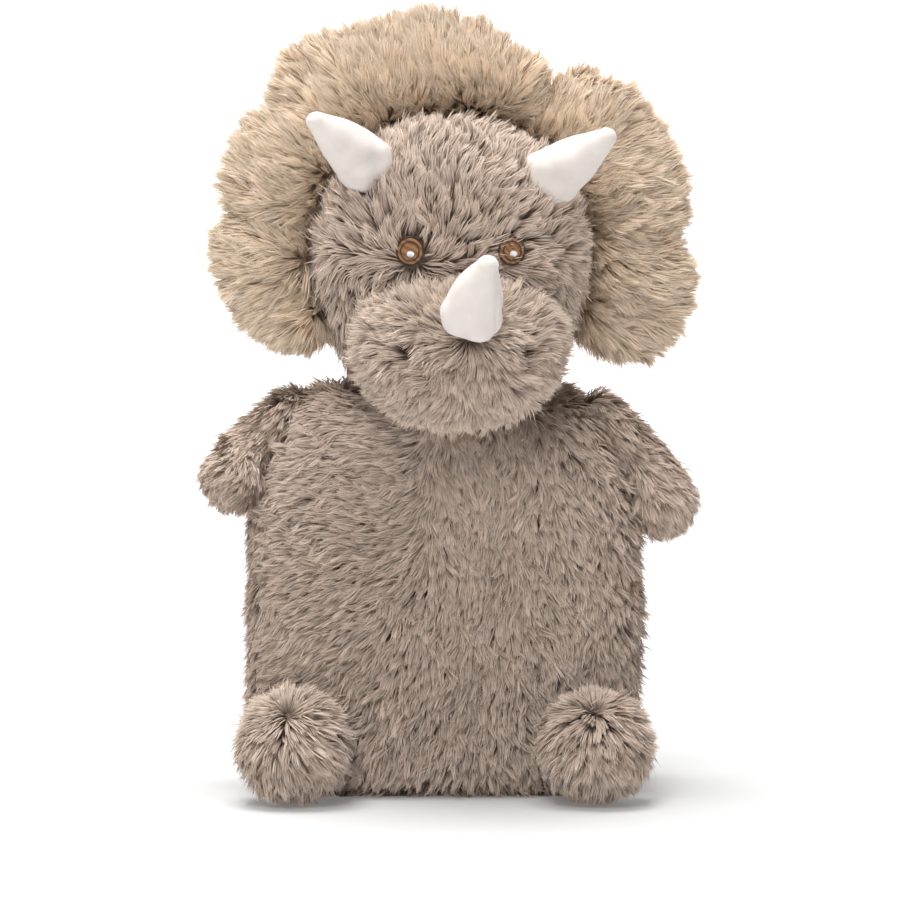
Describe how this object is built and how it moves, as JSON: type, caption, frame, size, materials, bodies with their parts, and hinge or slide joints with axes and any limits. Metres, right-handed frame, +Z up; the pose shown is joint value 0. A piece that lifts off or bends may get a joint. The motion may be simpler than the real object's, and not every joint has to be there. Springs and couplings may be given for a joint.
{
  "type": "stuffed dinosaur toy",
  "caption": "Upright plush horned dinosaur with a boxy flat-bottomed body, ball head and muzzle, scalloped padded frill, cloth horns, short arms and ball feet.",
  "frame": {"origin": "on the floor, under the middle of the whole toy", "axes": "+Z up, the face looks towards -Y, +X is the toy's own left"},
  "size_m": [0.1905, 0.1384, 0.2975],
  "materials": {
    "taupe_plush": "long pile plush, matt",
    "beige_plush": "long pile plush, matt",
    "horn_cloth": "short velour, matt",
    "dark_thread": "embroidery thread, satin",
    "copper_thread": "embroidery thread, satin",
    "white_thread": "embroidery thread, satin",
    "nostril_thread": "embroidery thread, satin",
    "fibre_filling": "loose polyester fibre, matt",
    "pellet_bag_cloth": "woven cloth, matt",
    "label_ribbon": "satin ribbon"
  },
  "bodies": {
    "body": {"body_front_panel": "taupe_plush", "body_back_panel": "taupe_plush", "body_left_gusset": "taupe_plush", "body_right_gusset": "taupe_plush", "base_panel": "taupe_plush", "body_stuffing": "fibre_filling", "pellet_bag": "pellet_bag_cloth", "care_label": "label_ribbon"},
    "neck": {"neck_plug": "fibre_filling"},
    "head": {"head_left_panel": "taupe_plush", "head_right_panel": "taupe_plush", "head_back_panel": "taupe_plush", "head_stuffing": "fibre_filling", "muzzle_cover": "taupe_plush", "muzzle_stuffing": "fibre_filling", "nose_horn_cover": "horn_cloth", "nose_horn_stuffing": "fibre_filling", "left_brow_horn_cover": "horn_cloth", "left_brow_horn_stuffing": "fibre_filling", "right_brow_horn_cover": "horn_cloth", "right_brow_horn_stuffing": "fibre_filling", "left_eye_outline": "dark_thread", "left_eye_iris": "copper_thread", "left_eye_highlight": "white_thread", "right_eye_outline": "dark_thread", "right_eye_iris": "copper_thread", "right_eye_highlight": "white_thread", "left_nostril": "nostril_thread", "right_nostril": "nostril_thread"},
    "frill": {"frill_front_panel": "beige_plush", "frill_back_panel": "beige_plush", "frill_wadding": "fibre_filling"},
    "left_arm": {"left_arm_cover": "taupe_plush", "left_arm_stuffing": "fibre_filling"},
    "right_arm": {"right_arm_cover": "taupe_plush", "right_arm_stuffing": "fibre_filling"},
    "left_foot": {"left_foot_cover": "taupe_plush", "left_foot_stuffing": "fibre_filling"},
    "right_foot": {"right_foot_cover": "taupe_plush", "right_foot_stuffing": "fibre_filling"}
  },
  "joints": [
    {"name": "neck_turn", "type": "hinge", "parent": "body", "child": "neck", "pos_m": [0.0007, 0.01519, 0.156], "axis": [0, 0, 1], "range_deg": [-12, 12]},
    {"name": "head_nod", "type": "hinge", "parent": "neck", "child": "head", "pos_m": [0.0007, 0.01519, 0.156], "axis": [0.9976, 0.0698, 0], "range_deg": [-6, 5]},
    {"name": "frill_flex", "type": "hinge", "parent": "head", "child": "frill", "pos_m": [0.0007, 0.01519, 0.202], "axis": [-0.9976, -0.0698, 0], "range_deg": [-5, 10]},
    {"name": "left_arm_lift", "type": "hinge", "parent": "body", "child": "left_arm", "pos_m": [0.05264, 0.01719, 0.14385], "axis": [0, -1, 0], "range_deg": [0, 25]},
    {"name": "right_arm_lift", "type": "hinge", "parent": "body", "child": "right_arm", "pos_m": [-0.05724, 0.01719, 0.14385], "axis": [0, 1, 0], "range_deg": [0, 25]},
    {"name": "left_foot_lift", "type": "hinge", "parent": "body", "child": "left_foot", "pos_m": [0.0537, -0.02231, 0.042], "axis": [-1, 0, 0], "range_deg": [0, 25]},
    {"name": "right_foot_lift", "type": "hinge", "parent": "body", "child": "right_foot", "pos_m": [-0.0583, -0.02231, 0.042], "axis": [-1, 0, 0], "range_deg": [0, 25]}
  ]
}
